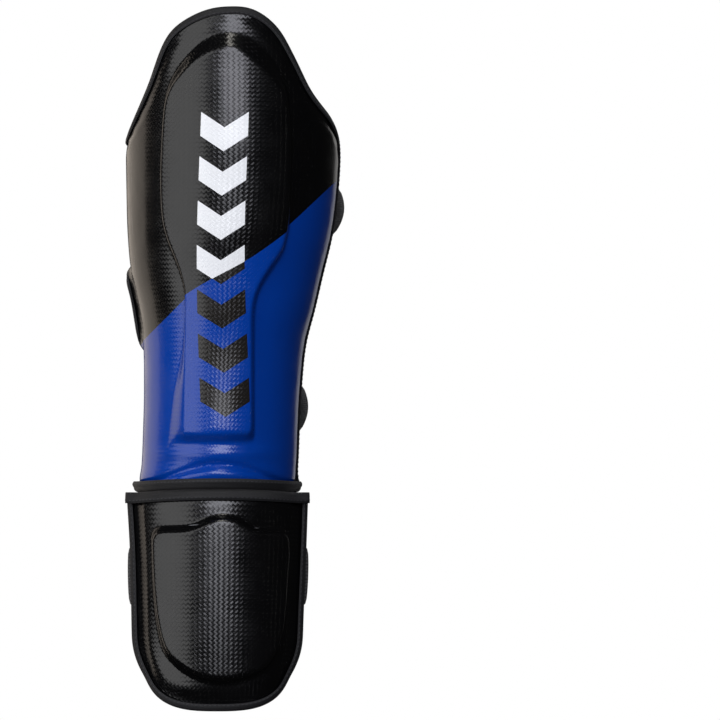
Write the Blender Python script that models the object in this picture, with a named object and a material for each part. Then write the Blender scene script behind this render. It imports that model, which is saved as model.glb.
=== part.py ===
# Shin and instep guard: a padded shin section, a padded instep section hinged to it at the
# ankle, and two calf straps.  Metres, +Z up the leg, the guard's front faces -Y.
# The origin is on the leg's axis, level with the toe edge of the instep section.
import math

import bmesh
import bpy
from mathutils import Vector
from mathutils.geometry import interpolate_bezier

MM = 0.001
GAP = 0.3 * MM              # clearance between touching pieces

# thicknesses
COVER = 1.0 * MM            # moulded synthetic leather
LINING = 1.0 * MM
EDGE_THICKNESS = 5.0 * MM   # the whole pad at its bound edge
SHIN_THICKNESS = 14.0 * MM  # the whole pad at the middle of the shin, without the raised panel
INSTEP_THICKNESS = 11.0 * MM
EDGE_MARGIN = 9.0 * MM      # stretch along the edge that stays thin
EDGE_RISE = 20.0 * MM       # stretch in which the pad reaches its full thickness
SHIN_RAISE = 8.0 * MM       # height of the raised panel over the pad
INSTEP_RAISE = 7.0 * MM
SLOPE = 8.0 * MM            # width of the raised panel's sloping sides
TAPE_WIDTH = 4.6 * MM       # edge tape, folded over the edge
TAPE_PROUD = 1.2 * MM
RIM_GAP = 1.2 * MM          # padding to tape, where the rim twists round the corners

# the ankle fold
SEAM = 155.0 * MM
TAPE_HALF_GAP = 0.3 * MM
SHIN_LOW = SEAM + TAPE_HALF_GAP + TAPE_WIDTH + GAP
INSTEP_HIGH = SEAM - TAPE_HALF_GAP - TAPE_WIDTH - GAP

# horizontal sections of the shin section's outer surface:
# height, middle x, half width, depth of the front half, depth of the back half
SHIN_SECTIONS = (
    (0.155, -0.0062, 0.0575, 0.060, 0.044),
    (0.175, -0.0040, 0.0560, 0.060, 0.045),
    (0.199, -0.0030, 0.0560, 0.061, 0.047),
    (0.231, -0.0018, 0.0565, 0.062, 0.049),
    (0.262, -0.0005, 0.0585, 0.064, 0.051),
    (0.285, 0.0010, 0.0630, 0.067, 0.054),
    (0.310, 0.0013, 0.0685, 0.070, 0.056),
    (0.340, 0.0035, 0.0735, 0.074, 0.060),
    (0.372, 0.0051, 0.0760, 0.077, 0.061),
    (0.408, 0.0057, 0.0770, 0.080, 0.062),
    (0.500, 0.0057, 0.0770, 0.083, 0.063),
)
# edges of the padding, in degrees round the leg from the front
LEFT_EDGE = (
    (0.155, 112), (0.175, 122), (0.199, 129), (0.231, 129), (0.250, 112), (0.262, 91),
    (0.285, 88), (0.310, 89), (0.322, 108), (0.340, 129),
)
RIGHT_EDGE = 84.0
# the arch of the upper edge: degrees round the leg, height
ARCH = (
    (-129, 0.390), (-122, 0.399), (-88, 0.4035), (-68, 0.4165), (-50, 0.442), (-36, 0.475),
    (-27, 0.485), (-3, 0.495), (10, 0.4935), (23, 0.481), (32, 0.463), (44, 0.439),
    (70, 0.414), (79, 0.405), (84, 0.394),
)
# foot of the raised panel: height, left x, right x
PANEL = (
    (0.175, -0.030, 0.0225), (0.199, -0.0255, 0.0215), (0.290, -0.0260, 0.0215),
    (0.310, -0.0310, 0.0310), (0.340, -0.0420, 0.0450), (0.372, -0.0445, 0.0465),
    (0.430, -0.0425, 0.0460), (0.450, -0.0370, 0.0405), (0.470, -0.0250, 0.0280),
)
PANEL_COLUMNS = (-0.44, -0.36, 0.36, 0.44)   # foot, crown, crown, foot
SHIN_COLUMNS = (
    -1.0, -0.95, -0.90, -0.79, -0.67, -0.55, -0.44, -0.36, -0.18,
    0.0, 0.18, 0.36, 0.44, 0.62, 0.81, 1.0,
)
SHIN_LEVELS = (
    SHIN_LOW, 0.175, 0.188, 0.199, 0.231, 0.250, 0.262, 0.285, 0.310, 0.322, 0.340, 0.372, 0.384,
)
ARCH_STEPS = (0.25, 0.50, 0.76, 0.87, 1.0)   # rows from the last level up to the arch
PANEL_ROWS = (2, 3, 15, 16)                  # foot, crown, crown, foot

# the instep section: height, middle x, half width, y of its front line, depth at its sides
INSTEP_SECTIONS = (
    (0.000, -0.0055, 0.0535, -0.0560, 0.020),
    (0.050, -0.0055, 0.0548, -0.0585, 0.024),
    (0.115, -0.0050, 0.0570, -0.0600, 0.027),
    (0.155, -0.0055, 0.0590, -0.0605, 0.029),
)
INSTEP_TURN = math.radians(60)               # how far its curved section turns to each side
TOE_EDGE = 5.0 * MM
TOE_CORNER = 48.0 * MM
INSTEP_COLUMNS = (-1.0, -0.87, -0.73, -0.65, -0.33, 0.0, 0.37, 0.75, 0.83, 0.92, 1.0)
INSTEP_LEVELS = (INSTEP_HIGH, 0.1375, 0.1310, 0.115, 0.075)
TOE_STEPS = (0.33, 0.60, 0.74, 0.84, 1.0)
SHIELD_COLUMNS = (-0.73, -0.65, 0.75, 0.83)
SHIELD_ROWS = (1, 2, 7, 8)

# straps
STRAP = 1.8 * MM
TAPE_LAYER = 1.0 * MM       # loop patches, hook tapes
STRAP_TAIL_COLUMN = -0.90   # free end of a calf strap, on the left wing
ANCHOR_COLUMN = 0.81        # inner end of a strap root, in the right wing
ROOT_REACH = 8.4 * MM       # strap root beyond the padding's edge
ROOT_BACK = 1.8 * MM        # strap root to hinge axis
STRAP_START = 1.2 * MM      # hinge axis to strap
UPPER_STRAP = {"low": 0.340, "high": 0.372, "back": 0.0640, "bulge": 0.0195, "right": 0.040,
               "left": -0.012}
LOWER_STRAP = {"low": 0.199, "high": 0.231, "back": 0.0530, "bulge": 0.0186, "right": 0.026,
               "left": -0.014}
FOOT_STRAP = {"low": 0.075, "high": 0.115, "back": 0.0200, "right": 0.022, "left": -0.032}
FOOT_STRAP_COLUMN = 0.83

COLOURS = {
    "black_leather": ((0.012, 0.012, 0.013), 0.30),
    "blue_leather": ((0.006, 0.045, 0.30), 0.32),
    "binding": ((0.018, 0.018, 0.019), 0.75),
    "foam": ((0.30, 0.30, 0.30), 0.90),
    "dense_foam": ((0.16, 0.16, 0.17), 0.85),
    "lining": ((0.030, 0.030, 0.032), 0.90),
    "webbing": ((0.020, 0.020, 0.021), 0.80),
    "hook_and_loop": ((0.010, 0.010, 0.010), 0.95),
    "elastic": ((0.022, 0.022, 0.023), 0.85),
}


def clear_scene():
    for item in list(bpy.data.objects):
        bpy.data.objects.remove(item, do_unlink=True)


def material(name):
    found = bpy.data.materials.get(name)
    if found:
        return found
    colour, roughness = COLOURS[name]
    made = bpy.data.materials.new(name)
    made.use_nodes = True
    shader = made.node_tree.nodes["Principled BSDF"]
    shader.inputs["Base Color"].default_value = (*colour, 1.0)
    shader.inputs["Roughness"].default_value = roughness
    shader.inputs["Metallic"].default_value = 0.0
    return made


def read_off(stations, at):
    """Values at a place between a table's stations, which are joined by straight lines."""
    if at <= stations[0][0]:
        return list(stations[0][1:])
    for first, second in zip(stations, stations[1:]):
        if at <= second[0]:
            part = (at - first[0]) / (second[0] - first[0])
            return [p + (q - p) * part for p, q in zip(first[1:], second[1:])]
    return list(stations[-1][1:])


def ease(value):
    value = min(1.0, max(0.0, value))
    return value * value * (3.0 - 2.0 * value)


# the shin section -----------------------------------------------------------------

def shin_surface(angle, height):
    """Point and outward direction on the outer surface, angle from the front."""
    middle, half, front, back = read_off(SHIN_SECTIONS, height)
    depth = front if math.cos(angle) > 0 else back
    point = Vector((middle + half * math.sin(angle), -depth * math.cos(angle), height))
    out = Vector((math.sin(angle) / half, -math.cos(angle) / depth, 0.0)).normalized()
    return point, out


def angle_of(x, height):
    middle, half = read_off(SHIN_SECTIONS, height)[:2]
    return math.asin((x - middle) / half)


def shin_angle(column, height):
    """Angle round the leg of a column; the panel's columns follow the raised panel."""
    left, right = read_off(PANEL, height)
    foot_left, crown_left, crown_right, foot_right = PANEL_COLUMNS
    stations = (
        (-1.0, -math.radians(read_off(LEFT_EDGE, height)[0])),
        (foot_left, angle_of(left, height)),
        (crown_left, angle_of(left + SLOPE, height)),
        (crown_right, angle_of(right - SLOPE, height)),
        (foot_right, angle_of(right, height)),
        (1.0, math.radians(RIGHT_EDGE)),
    )
    return read_off(stations, column)[0]


def shin_height(column, row):
    """Height of a row: level up to the straps, then rising to the arch."""
    if row < len(SHIN_LEVELS):
        return SHIN_LEVELS[row]
    top = 0.45
    for _ in range(12):
        top = read_off(ARCH, math.degrees(shin_angle(column, top)))[0]
    last = SHIN_LEVELS[-1]
    return last + (top - last) * ARCH_STEPS[row - len(SHIN_LEVELS)]


def shin_vertex(column, row):
    height = shin_height(column, row)
    return shin_surface(shin_angle(column, height), height)


SHIN_ROWS = tuple(range(len(SHIN_LEVELS) + len(ARCH_STEPS)))


def shin_rim():
    """The padding's outline without the ankle edge, from the lower left to the lower right."""
    last = SHIN_ROWS[-1]
    left = [(-1.0, row) for row in SHIN_ROWS[:-1]]
    top = [(column, last) for column in SHIN_COLUMNS]
    right = [(1.0, row) for row in reversed(SHIN_ROWS[:-1])]
    return left + top + right


def edge_distance(point, rim_points):
    return min((point - other).length for other in rim_points)


def shin_thickness():
    rim_points = [shin_vertex(*place)[0] for place in shin_rim()]
    low_edge = [shin_vertex(column, 0)[0] for column in SHIN_COLUMNS]
    edge = rim_points + low_edge
    sizes = {}
    for row in SHIN_ROWS:
        for column in SHIN_COLUMNS:
            away = edge_distance(shin_vertex(column, row)[0], edge)
            rise = ease((away - EDGE_MARGIN) / EDGE_RISE)
            sizes[column, row] = EDGE_THICKNESS + (SHIN_THICKNESS - EDGE_THICKNESS) * rise
    return sizes


# the instep section ---------------------------------------------------------------

def instep_height(column, row):
    if row < len(INSTEP_LEVELS):
        return INSTEP_LEVELS[row]
    round_part = 1.0 - (1.0 - abs(column) ** 3.2) ** (1.0 / 2.2)
    toe = TOE_EDGE + TOE_CORNER * round_part
    last = INSTEP_LEVELS[-1]
    return last + (toe - last) * TOE_STEPS[row - len(INSTEP_LEVELS)]


def instep_vertex(column, row):
    height = instep_height(column, row)
    middle, half, front, depth = read_off(INSTEP_SECTIONS, height)
    angle = column * INSTEP_TURN
    across = half / math.sin(INSTEP_TURN)
    deep = depth / (1.0 - math.cos(INSTEP_TURN))
    point = Vector((
        middle + across * math.sin(angle),
        front + deep * (1.0 - math.cos(angle)),
        height,
    ))
    out = Vector((math.sin(angle) / across, -math.cos(angle) / deep, 0.0)).normalized()
    return point, out


INSTEP_ROWS = tuple(range(len(INSTEP_LEVELS) + len(TOE_STEPS)))


def instep_rim():
    last = INSTEP_ROWS[-1]
    left = [(-1.0, row) for row in INSTEP_ROWS[:-1]]
    toe = [(column, last) for column in INSTEP_COLUMNS]
    right = [(1.0, row) for row in reversed(INSTEP_ROWS[:-1])]
    return left + toe + right


def instep_thickness():
    edge = [instep_vertex(*place)[0] for place in instep_rim()]
    edge += [instep_vertex(column, 0)[0] for column in INSTEP_COLUMNS]
    sizes = {}
    for row in INSTEP_ROWS:
        for column in INSTEP_COLUMNS:
            away = edge_distance(instep_vertex(column, row)[0], edge)
            rise = ease((away - EDGE_MARGIN) / EDGE_RISE)
            sizes[column, row] = EDGE_THICKNESS + (INSTEP_THICKNESS - EDGE_THICKNESS) * rise
    return sizes


# solids ---------------------------------------------------------------------------

def finish(name, bm, colour, collection):
    bmesh.ops.recalc_face_normals(bm, faces=bm.faces[:])
    if bm.calc_volume(signed=True) < 0:
        bmesh.ops.reverse_faces(bm, faces=bm.faces[:])
    bmesh.ops.triangulate(bm, faces=bm.faces[:], quad_method="FIXED", ngon_method="BEAUTY")
    mesh = bpy.data.meshes.new(name)
    bm.to_mesh(mesh)
    bm.free()
    mesh.shade_smooth()
    mesh.set_sharp_from_angle(angle=math.radians(40))
    mesh.materials.append(material(colour))
    made = bpy.data.objects.new(name, mesh)
    collection.objects.link(made)
    return made


def slab(columns, rows, place):
    """A grid of cells given thickness, then bent: place(column, row, side) with side 0 or 1."""
    bm = bmesh.new()
    across = len(columns) - 1
    along = len(rows) - 1
    bmesh.ops.create_grid(bm, x_segments=across, y_segments=along, size=1.0)
    grown = bmesh.ops.extrude_face_region(bm, geom=bm.faces[:])["geom"]
    moved = [item for item in grown if isinstance(item, bmesh.types.BMVert)]
    bmesh.ops.translate(bm, verts=moved, vec=(0, 0, 1))
    for vert in bm.verts:
        column = columns[round((vert.co.x + 1) / 2 * across)]
        row = rows[round((vert.co.y + 1) / 2 * along)]
        vert.co = place(column, row, round(vert.co.z))
    return bm


def layer(name, vertex, columns, rows, outer, inner, colour, collection):
    """One layer of a pad, between two heights over its outer surface."""
    def place(column, row, side):
        point, out = vertex(column, row)
        height = outer(column, row) if side else inner(column, row)
        return point + out * height

    return finish(name, slab(columns, rows, place), colour, collection)


def rim_tape(name, rim, vertex, turn, colour, collection):
    """Edge tape beside the padding's rim; turn is 1 where the rim runs clockwise, else -1."""
    points = [vertex(*place) for place in rim]
    count = len(points)
    outward = []
    for index, (point, out) in enumerate(points):
        before = point - points[index - 1][0] if index else points[1][0] - point
        after = points[index + 1][0] - point if index < count - 1 else before
        one = out.cross(before).normalized() * turn
        other = out.cross(after).normalized() * turn
        outward.append((one + other) / (1.0 + one.dot(other)))

    def place(step, corner, side):
        point, out = points[step]
        away = RIM_GAP + (TAPE_WIDTH if corner else 0.0)
        height = TAPE_PROUD if side else -EDGE_THICKNESS
        return point + outward[step] * away + out * height

    return finish(name, slab(range(count), (0, 1), place), colour, collection)


def hem_tape(name, vertex, columns, down, colour, collection):
    """Edge tape along the ankle edge, below the shin section or above the instep section."""
    def place(column, corner, side):
        point, out = vertex(column, 0)
        away = GAP + (TAPE_WIDTH if corner else 0.0)
        height = TAPE_PROUD if side else -EDGE_THICKNESS
        return point + out * height + Vector((0, 0, down * away))

    return finish(name, slab(columns, (0, 1), place), colour, collection)


def pad(prefix, vertex, columns, rows, thickness, panel_columns, panel_rows, raise_by,
        colour, collection):
    """Cover, foam, dense foam block and lining of one section."""
    def raised(column, row):
        inside = panel_columns[1] <= column <= panel_columns[2]
        return raise_by if inside and panel_rows[1] <= row <= panel_rows[2] else 0.0

    def at(level, sign=0.0):
        return lambda column, row: level + sign * thickness[column, row]

    layer(prefix + "_cover", vertex, columns, rows, raised,
          lambda column, row: raised(column, row) - COVER, colour, collection)
    layer(prefix + "_foam", vertex, columns, rows, at(-COVER - GAP), at(LINING + GAP, -1.0),
          "foam", collection)
    layer(prefix + "_lining", vertex, columns, rows, at(LINING, -1.0), at(0.0, -1.0),
          "lining", collection)
    block_columns = [c for c in columns if panel_columns[1] <= c <= panel_columns[2]]
    block_rows = [r for r in rows if panel_rows[1] <= r <= panel_rows[2]]
    layer(prefix + "_impact_foam", vertex, block_columns, block_rows,
          at(raise_by - COVER - GAP), at(-COVER), "dense_foam", collection)


# straps ---------------------------------------------------------------------------

def over_edge(out, side):
    """Direction along a surface, outwards over its right (1) or left (-1) edge."""
    return Vector((-out.y * side, out.x * side, 0.0))


def band(name, path, rows, colour, collection):
    """A strap: path(row) gives its middle line as points and outward directions."""
    lines = {row: path(row) for row in rows}
    count = len(lines[rows[0]])

    def place(step, row, side):
        point, out = lines[row][step]
        return point + out * (side - 0.5) * STRAP

    return finish(name, slab(range(count), rows, place), colour, collection)


def with_directions(points):
    """Outward directions of a line that runs round the back from right to left."""
    found = []
    for index, point in enumerate(points):
        before = points[max(index - 1, 0)]
        after = points[min(index + 1, len(points) - 1)]
        along = after - before
        found.append((point, Vector((along.y, -along.x, 0.0)).normalized()))
    return found


def strap_root(height):
    """Hinge point of a calf strap, and the directions outwards and backwards there."""
    point, out = shin_surface(math.radians(RIGHT_EDGE), height)
    back = over_edge(out, 1)
    inside = EDGE_THICKNESS + GAP + STRAP / 2
    return point - out * inside + back * (ROOT_REACH + ROOT_BACK), out, back


def calf_strap(prefix, sizes, thickness, collection):
    low_row = SHIN_LEVELS.index(sizes["low"])
    rows = (low_row, low_row + 1)
    tail_columns = [c for c in SHIN_COLUMNS if c <= STRAP_TAIL_COLUMN]
    root_columns = [c for c in SHIN_COLUMNS if c >= ANCHOR_COLUMN]
    lift = GAP + TAPE_LAYER + GAP + TAPE_LAYER + GAP + STRAP / 2

    def anchor_path(row):
        line = []
        for column in root_columns:
            point, out = shin_vertex(column, row)
            line.append((point - out * (thickness[column, row] + GAP + STRAP / 2), out))
        hinge, out, back = strap_root(SHIN_LEVELS[row])
        line.append((hinge - back * ROOT_BACK, out))
        return line

    def strap_path(row):
        height = SHIN_LEVELS[row]
        hinge, _, back = strap_root(height)
        start = hinge + back * STRAP_START
        bulge = sizes["bulge"]
        flat_right = Vector((sizes["right"], sizes["back"], height))
        flat_left = Vector((sizes["left"], sizes["back"], height))
        tail = [shin_vertex(column, row) for column in tail_columns]
        end, out = tail[0]
        end = end + out * lift
        leave = over_edge(out, -1)
        round_right = interpolate_bezier(
            start, start + Vector((bulge, bulge, 0.0)),
            Vector((start.x + 0.6 * bulge, flat_right.y, height)), flat_right, 9)
        round_left = interpolate_bezier(
            flat_left, flat_left - Vector((bulge, 0.0, 0.0)), end + leave * bulge * 0.9, end, 7)
        line = with_directions(list(round_right) + list(round_left)[:-1])
        return line + [(point + away * lift, away) for point, away in tail]

    band(prefix + "_strap_anchor", anchor_path, rows, "webbing", collection)
    band(prefix + "_strap", strap_path, rows, "webbing", collection)
    loop_low = GAP
    hook_low = GAP + TAPE_LAYER + GAP
    for name, low in (("_loop_patch", loop_low), ("_hook_tape", hook_low)):
        layer(prefix + name, shin_vertex, tail_columns, rows,
              lambda column, row, low=low: low + TAPE_LAYER,
              lambda column, row, low=low: low, "hook_and_loop", collection)


def foot_strap(thickness, collection):
    low_row = INSTEP_LEVELS.index(FOOT_STRAP["high"])
    rows = (low_row, low_row + 1)
    right_columns = [c for c in INSTEP_COLUMNS if c >= FOOT_STRAP_COLUMN]
    left_columns = [c for c in INSTEP_COLUMNS if c <= -FOOT_STRAP_COLUMN]
    reach = GAP + TAPE_WIDTH + GAP

    def sewn(column, row):
        point, out = instep_vertex(column, row)
        return point - out * (thickness[column, row] + GAP + STRAP / 2), out

    def path(row):
        height = INSTEP_LEVELS[row]
        right, right_out = sewn(1.0, row)
        left, left_out = sewn(-1.0, row)
        right_back = over_edge(right_out, 1)
        left_back = over_edge(left_out, -1)
        leave = right + right_back * reach
        arrive = left + left_back * reach
        flat_right = Vector((FOOT_STRAP["right"], FOOT_STRAP["back"], height))
        flat_left = Vector((FOOT_STRAP["left"], FOOT_STRAP["back"], height))
        curl = 18 * MM
        round_right = interpolate_bezier(
            leave, leave + right_back * curl * 0.6, flat_right + Vector((curl * 1.3, 0, 0)),
            flat_right, 8)
        round_left = interpolate_bezier(
            flat_left, flat_left - Vector((curl * 1.3, 0, 0)), arrive + left_back * curl * 0.6,
            arrive, 8)
        free = with_directions(list(round_right) + list(round_left))
        return ([sewn(column, row) for column in right_columns] + free[1:-1]
                + [sewn(column, row) for column in left_columns])

    band("foot_strap", path, rows, "elastic", collection)
    patch_top = GAP + STRAP + GAP
    for name, columns in (("right", right_columns), ("left", left_columns)):
        layer("foot_strap_patch_" + name, instep_vertex, columns, rows,
              lambda column, row: -thickness[column, row] - patch_top,
              lambda column, row: -thickness[column, row] - patch_top - COVER,
              "black_leather", collection)


def hinge_strip(thickness, collection):
    """Flexible strip inside the ankle fold, from the shin's lining down to the instep's."""
    columns = [c for c in SHIN_COLUMNS if PANEL_COLUMNS[0] <= c <= PANEL_COLUMNS[-1]]
    instep_clearance = 1.5 * MM
    low_levels = (INSTEP_HIGH, INSTEP_LEVELS[1])

    def place(column, step, side):
        if step < 2:
            point, out = shin_vertex(column, 1 - step)
            depth = thickness[column, 1 - step] + GAP
        else:
            angle = shin_angle(column, SEAM)
            point, out = shin_surface(angle, SEAM)
            point.z = low_levels[step - 2]
            depth = EDGE_THICKNESS + GAP + instep_clearance
        return point - out * (depth + side * COVER)

    finish("ankle_hinge_strip", slab(columns, (0, 1, 2, 3), place), "elastic", collection)


def build():
    clear_scene()
    guard = bpy.data.collections.new("shin_guard")
    bpy.context.scene.collection.children.link(guard)
    shin_sizes = shin_thickness()
    instep_sizes = instep_thickness()
    pad("shin", shin_vertex, SHIN_COLUMNS, SHIN_ROWS, shin_sizes, PANEL_COLUMNS, PANEL_ROWS,
        SHIN_RAISE, "black_leather", guard)
    pad("instep", instep_vertex, INSTEP_COLUMNS, INSTEP_ROWS, instep_sizes, SHIELD_COLUMNS,
        SHIELD_ROWS, INSTEP_RAISE, "black_leather", guard)
    rim_tape("shin_binding", shin_rim(), shin_vertex, 1, "binding", guard)
    rim_tape("instep_binding", instep_rim(), instep_vertex, -1, "binding", guard)
    hem_tape("shin_hem_binding", shin_vertex, SHIN_COLUMNS, -1, "binding", guard)
    hem_tape("instep_hem_binding", instep_vertex, INSTEP_COLUMNS, 1, "binding", guard)
    calf_strap("upper", UPPER_STRAP, shin_sizes, guard)
    calf_strap("lower", LOWER_STRAP, shin_sizes, guard)
    foot_strap(instep_sizes, guard)
    hinge_strip(shin_sizes, guard)


build()
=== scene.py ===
import math

import bmesh
import bpy
import numpy as np
from mathutils import Matrix, Vector
from mathutils.kdtree import KDTree


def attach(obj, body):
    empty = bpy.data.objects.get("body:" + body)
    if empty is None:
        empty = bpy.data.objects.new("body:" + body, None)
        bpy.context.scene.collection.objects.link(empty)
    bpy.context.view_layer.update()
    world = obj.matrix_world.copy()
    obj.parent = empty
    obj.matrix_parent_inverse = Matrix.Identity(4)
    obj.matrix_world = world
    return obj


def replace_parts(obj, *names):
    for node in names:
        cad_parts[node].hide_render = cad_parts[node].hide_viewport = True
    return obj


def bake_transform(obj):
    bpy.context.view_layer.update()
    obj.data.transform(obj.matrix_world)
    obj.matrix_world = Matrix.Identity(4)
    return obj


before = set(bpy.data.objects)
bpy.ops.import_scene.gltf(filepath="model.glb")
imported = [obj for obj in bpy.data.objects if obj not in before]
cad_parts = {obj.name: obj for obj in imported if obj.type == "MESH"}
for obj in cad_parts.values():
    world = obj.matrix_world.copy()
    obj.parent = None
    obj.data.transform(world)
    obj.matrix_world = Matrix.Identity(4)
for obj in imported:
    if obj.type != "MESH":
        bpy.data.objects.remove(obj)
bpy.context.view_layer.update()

mm = 0.001
print("frame loaded:", len(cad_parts), "parts")


# numbers and curves

def linearColour(code):
    channels = [int(code[i:i + 2], 16) / 255 for i in (1, 3, 5)]
    return tuple(c / 12.92 if c <= 0.04045 else ((c + 0.055) / 1.055) ** 2.4
                 for c in channels) + (1.0,)


def ease(value):
    value = np.clip(value, 0.0, 1.0)
    return value * value * (3.0 - 2.0 * value)


def smoothRead(stations, at, column=1):
    places = np.array([row[0] for row in stations], float)
    values = np.array([row[column] for row in stations], float)
    gaps = np.diff(places)
    slopes = np.diff(values) / gaps
    tangents = np.concatenate([[slopes[0]], (slopes[1:] + slopes[:-1]) / 2, [slopes[-1]]])
    turning = np.concatenate([[False], slopes[1:] * slopes[:-1] <= 0, [False]])
    tangents[turning] = 0.0
    at = np.clip(np.asarray(at, float), places[0], places[-1])
    index = np.clip(np.searchsorted(places, at) - 1, 0, len(gaps) - 1)
    gap = gaps[index]
    part = (at - places[index]) / gap
    square, cube = part ** 2, part ** 3
    return ((2 * cube - 3 * square + 1) * values[index] + (cube - 2 * square + part) * gap * tangents[index]
            + (3 * square - 2 * cube) * values[index + 1] + (cube - square) * gap * tangents[index + 1])


def roundOutline(corners):
    corners = np.array(corners, float)
    steps = 8
    count = len(corners)
    found = []
    for index in range(count):
        before, here = corners[index - 1], corners[index]
        after, last = corners[(index + 1) % count], corners[(index + 2) % count]
        for step in range(steps):
            part = step / steps
            found.append(0.5 * (2 * here + (after - before) * part
                                + (2 * before - 5 * here + 4 * after - last) * part ** 2
                                + (3 * here - before - 3 * after + last) * part ** 3))
    return np.array(found)


def insideBy(outline, x, z):
    nearest = np.full(len(x), 1e9)
    inside = np.zeros(len(x), bool)
    for (ax, az), (bx, bz) in zip(outline, np.roll(outline, -1, axis=0)):
        dx, dz = bx - ax, bz - az
        part = np.clip(((x - ax) * dx + (z - az) * dz) / (dx * dx + dz * dz + 1e-18), 0, 1)
        nearest = np.minimum(nearest, np.hypot(x - ax - part * dx, z - az - part * dz))
        crosses = (az > z) != (bz > z)
        inside ^= crosses & (x < ax + (z - az) * dx / (dz if dz else 1e-18))
    return np.where(inside, nearest, -nearest)


# building: a flat grid of cells is given thickness, then bent onto its place

def slabMesh(columns, rows):
    bm = bmesh.new()
    bmesh.ops.create_grid(bm, x_segments=columns - 1, y_segments=rows - 1, size=1.0)
    grown = bmesh.ops.extrude_face_region(bm, geom=bm.faces[:])["geom"]
    bmesh.ops.translate(bm, verts=[g for g in grown if isinstance(g, bmesh.types.BMVert)], vec=(0, 0, 1))
    bmesh.ops.recalc_face_normals(bm, faces=bm.faces[:])
    return bm


def finishPiece(name, bm, material, sharp=40):
    mesh = bpy.data.meshes.new(name)
    bm.to_mesh(mesh)
    bm.free()
    mesh.shade_smooth()
    mesh.set_sharp_from_angle(angle=math.radians(sharp))
    mesh.materials.append(material)
    piece = bpy.data.objects.new(name, mesh)
    bpy.context.scene.collection.objects.link(piece)
    return piece


def bendSlab(name, sheet, outer, inner, material, sharp):
    columns, rows = sheet["size"]
    piece = finishPiece(name, slabMesh(columns, rows), material, 180)
    mesh = piece.data
    places = np.empty(len(mesh.vertices) * 3)
    mesh.vertices.foreach_get("co", places)
    places = places.reshape(-1, 3)
    column = np.rint((places[:, 0] + 1) / 2 * (columns - 1)).astype(int)
    row = np.rint((places[:, 1] + 1) / 2 * (rows - 1)).astype(int)
    index = row * columns + column
    height = np.where(places[:, 2] > 0.5, outer[index], inner[index])
    bent = sheet["point"][index] + sheet["out"][index] * height[:, None]
    mesh.vertices.foreach_set("co", bent.ravel())
    corner = np.empty(len(mesh.loops), int)
    mesh.loops.foreach_get("vertex_index", corner)
    for layerName in ("flat", "paint"):
        if layerName in sheet:
            layer = mesh.uv_layers.new(name=layerName)
            layer.uv.foreach_set("vector", sheet[layerName][index[corner]].ravel())
    mesh.update()
    check = bmesh.new()
    check.from_mesh(mesh)
    if check.calc_volume(signed=True) < 0:
        mesh.flip_normals()
    check.free()
    mesh.set_sharp_from_angle(angle=math.radians(sharp))
    return piece


def sideways(sheet, values):
    return values.reshape(sheet["size"][1], sheet["size"][0])


def softened(sheet, relief):
    field = np.pad(sideways(sheet, relief), 1, mode="edge")
    field = (field[:-2] + 2 * field[1:-1] + field[2:]) / 4
    return ((field[:, :-2] + 2 * field[:, 1:-1] + field[:, 2:]) / 4).ravel()


def outlineDistance(points, outline):
    tree = KDTree(len(outline))
    for number, place in enumerate(outline):
        tree.insert(place, number)
    tree.balance()
    return np.array([tree.find(place)[2] for place in points])


# materials

# adds a node; a setting is a property, an input's value, or the node or socket that feeds the input
def addNode(tree, kind, settings=None):
    node = tree.nodes.new("ShaderNode" + kind)
    for key, value in (settings or {}).items():
        if isinstance(value, bpy.types.Node):
            value = value.outputs[0]
        if isinstance(value, bpy.types.NodeSocket):
            tree.links.new(value, node.inputs[key])
        elif isinstance(key, str) and hasattr(node, key):
            setattr(node, key, value)
        else:
            node.inputs[key].default_value = value
    return node


def startMaterial(name, settings):
    material = bpy.data.materials.new(name)
    material.use_nodes = True
    shader = material.node_tree.nodes["Principled BSDF"]
    for key, value in settings.items():
        shader.inputs[key].default_value = value
    return material, material.node_tree, shader


# embossed weave: small tows over and under each other, pressed into the skin at 45 degrees;
# it fades out on the far sides, where it is too fine to show edge-on
weaveLook = {"pitch": 2.3 * mm, "depth": 0.075 * mm, "turn": math.radians(45),
             "fadeFrom": 60 * mm, "fadeTo": 72 * mm}


def weaveHeight(tree, uv):
    turned = addNode(tree, "Mapping", {
        "Vector": uv, "Rotation": (0, 0, weaveLook["turn"]),
        "Scale": (1 / weaveLook["pitch"], 1 / weaveLook["pitch"], 1)})
    parts = addNode(tree, "SeparateXYZ", {0: turned}).outputs[:2]
    cells = [addNode(tree, "Math", {"operation": "FLOOR", 0: part}) for part in parts]
    cell = addNode(tree, "Math", {"operation": "ADD", 0: cells[0], 1: cells[1]})
    cell = addNode(tree, "Math", {"operation": "MODULO", 0: cell, 1: 2.0})
    odd = addNode(tree, "Math", {"operation": "ABSOLUTE", 0: cell})
    even = addNode(tree, "Math", {"operation": "SUBTRACT", 0: 1.0, 1: odd})
    tows = []
    for part, shown in zip(parts, (odd, even)):
        share = addNode(tree, "Math", {"operation": "FRACT", 0: part})
        angle = addNode(tree, "Math", {"operation": "MULTIPLY", 0: share, 1: math.pi})
        crest = addNode(tree, "Math", {"operation": "SINE", 0: angle})
        tows.append(addNode(tree, "Math", {"operation": "MULTIPLY", 0: crest, 1: shown}))
    height = addNode(tree, "Math", {"operation": "ADD", 0: tows[0], 1: tows[1]})
    aside = addNode(tree, "SeparateXYZ", {0: uv})
    aside = addNode(tree, "Math", {"operation": "ABSOLUTE", 0: aside})
    fade = addNode(tree, "MapRange", {
        "Value": aside, "From Min": weaveLook["fadeFrom"], "From Max": weaveLook["fadeTo"],
        "To Min": 1.0, "To Max": 0.0})
    return addNode(tree, "Math", {"operation": "MULTIPLY", 0: height, 1: fade})


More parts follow.
